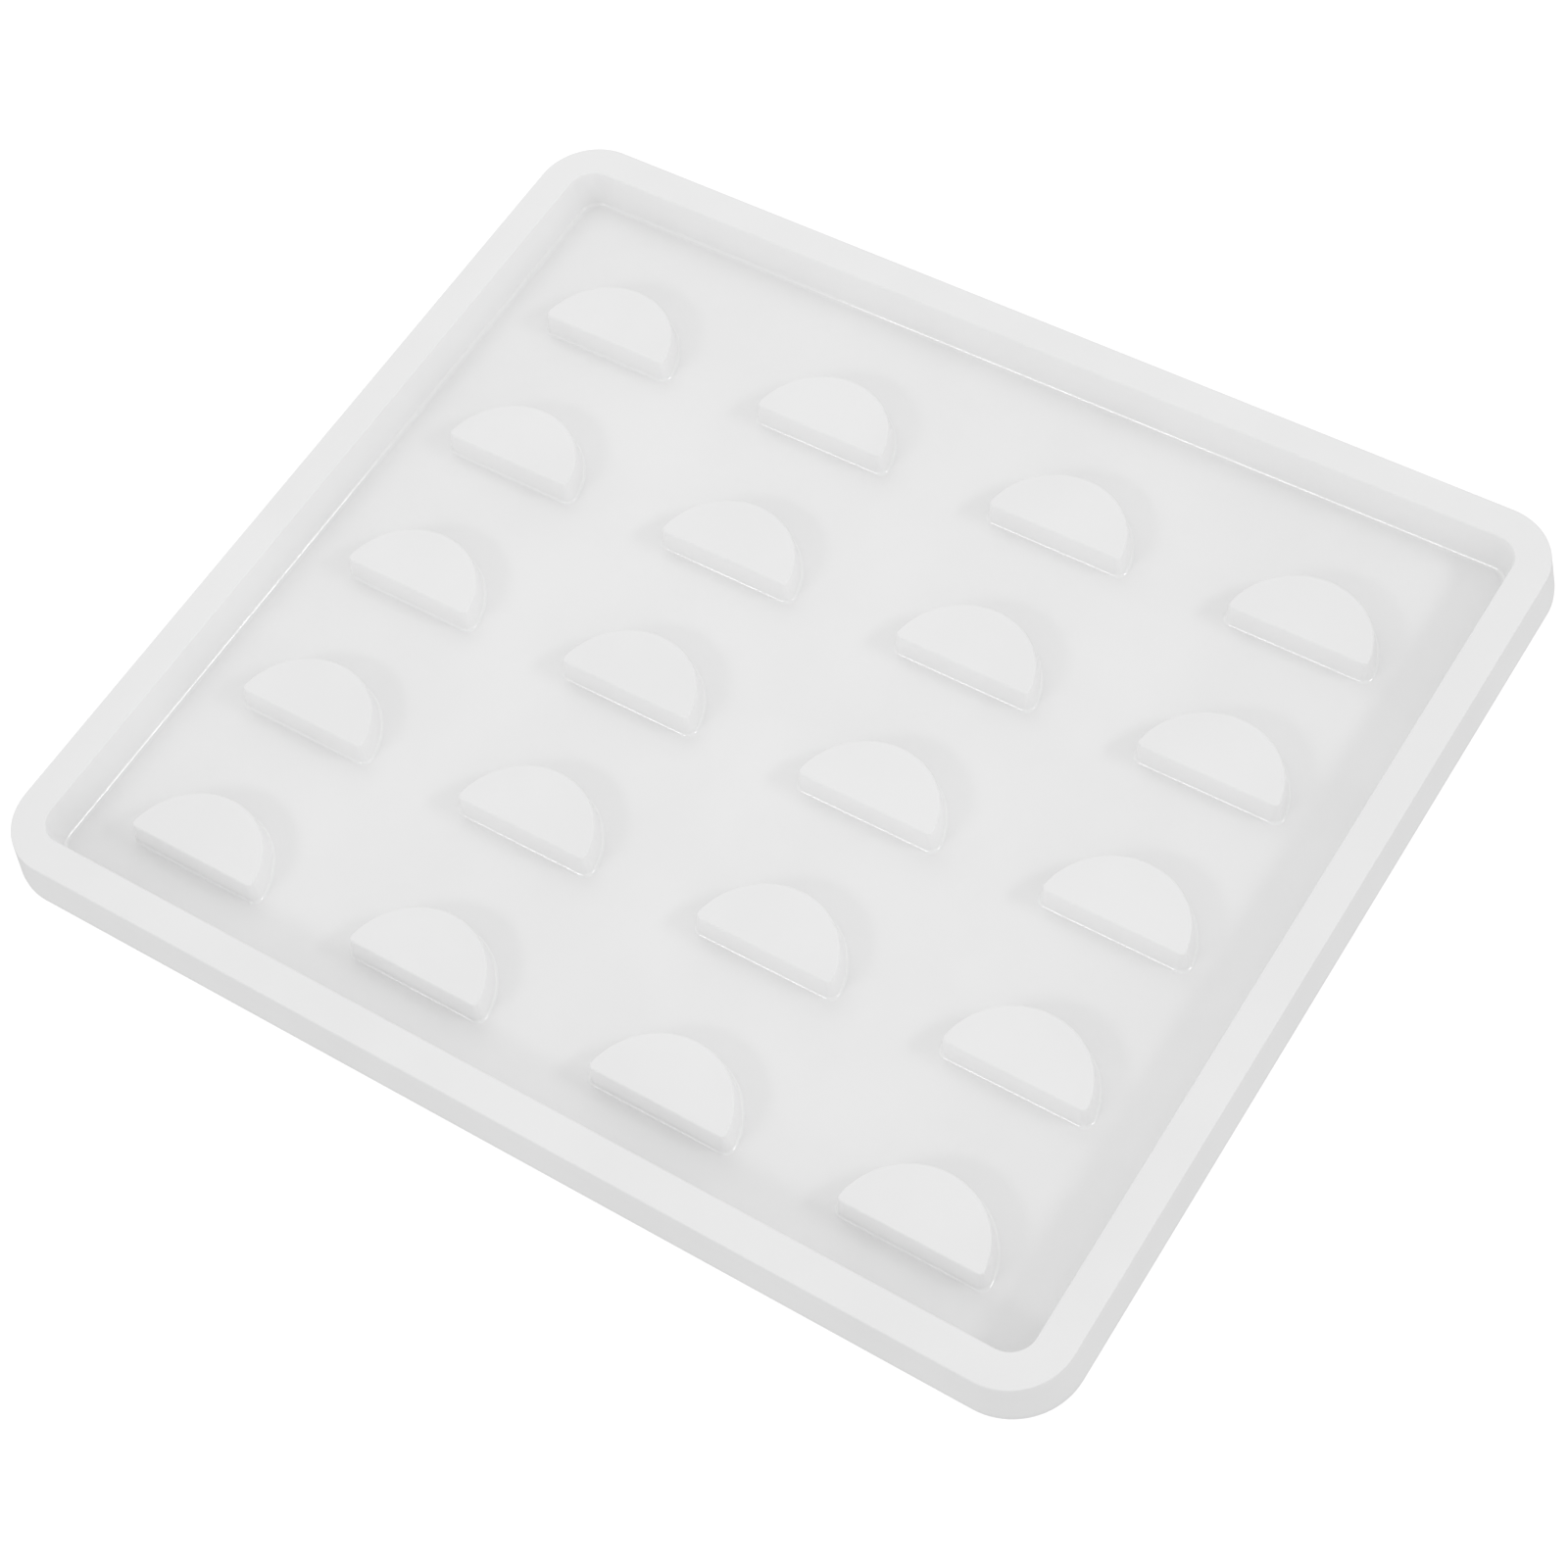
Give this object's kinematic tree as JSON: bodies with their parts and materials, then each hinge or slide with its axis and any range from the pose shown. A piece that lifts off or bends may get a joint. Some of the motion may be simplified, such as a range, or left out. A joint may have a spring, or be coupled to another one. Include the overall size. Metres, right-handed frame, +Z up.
{
  "type": "resin casting mould",
  "caption": "Shallow square-sided silicone tray mould with a flat rim and rows of raised half-moon cores that leave half-moon openings in a poured resin slab.",
  "frame": {"origin": "under the middle of the base sheet, on the surface that the mould lies on", "axes": "+X along a row of four cores, +Y towards the side that the round edges of the cores face, +Z up out of the pocket"},
  "size_m": [0.202, 0.1764, 0.0089],
  "materials": {
    "white_silicone": "soft white platinum silicone, matte on the rim and the cores, satin on the floor and the walls"
  },
  "bodies": {
    "root": {"base_sheet": "white_silicone", "rim_wall": "white_silicone", "half_moon_core_r1_c1": "white_silicone", "half_moon_core_r1_c2": "white_silicone", "half_moon_core_r1_c3": "white_silicone", "half_moon_core_r1_c4": "white_silicone", "half_moon_core_r2_c1": "white_silicone", "half_moon_core_r2_c2": "white_silicone", "half_moon_core_r2_c3": "white_silicone", "half_moon_core_r2_c4": "white_silicone", "half_moon_core_r3_c1": "white_silicone", "half_moon_core_r3_c2": "white_silicone", "half_moon_core_r3_c3": "white_silicone", "half_moon_core_r3_c4": "white_silicone", "half_moon_core_r4_c1": "white_silicone", "half_moon_core_r4_c2": "white_silicone", "half_moon_core_r4_c3": "white_silicone", "half_moon_core_r4_c4": "white_silicone", "half_moon_core_r5_c1": "white_silicone", "half_moon_core_r5_c2": "white_silicone", "half_moon_core_r5_c3": "white_silicone", "half_moon_core_r5_c4": "white_silicone"}
  },
  "joints": []
}
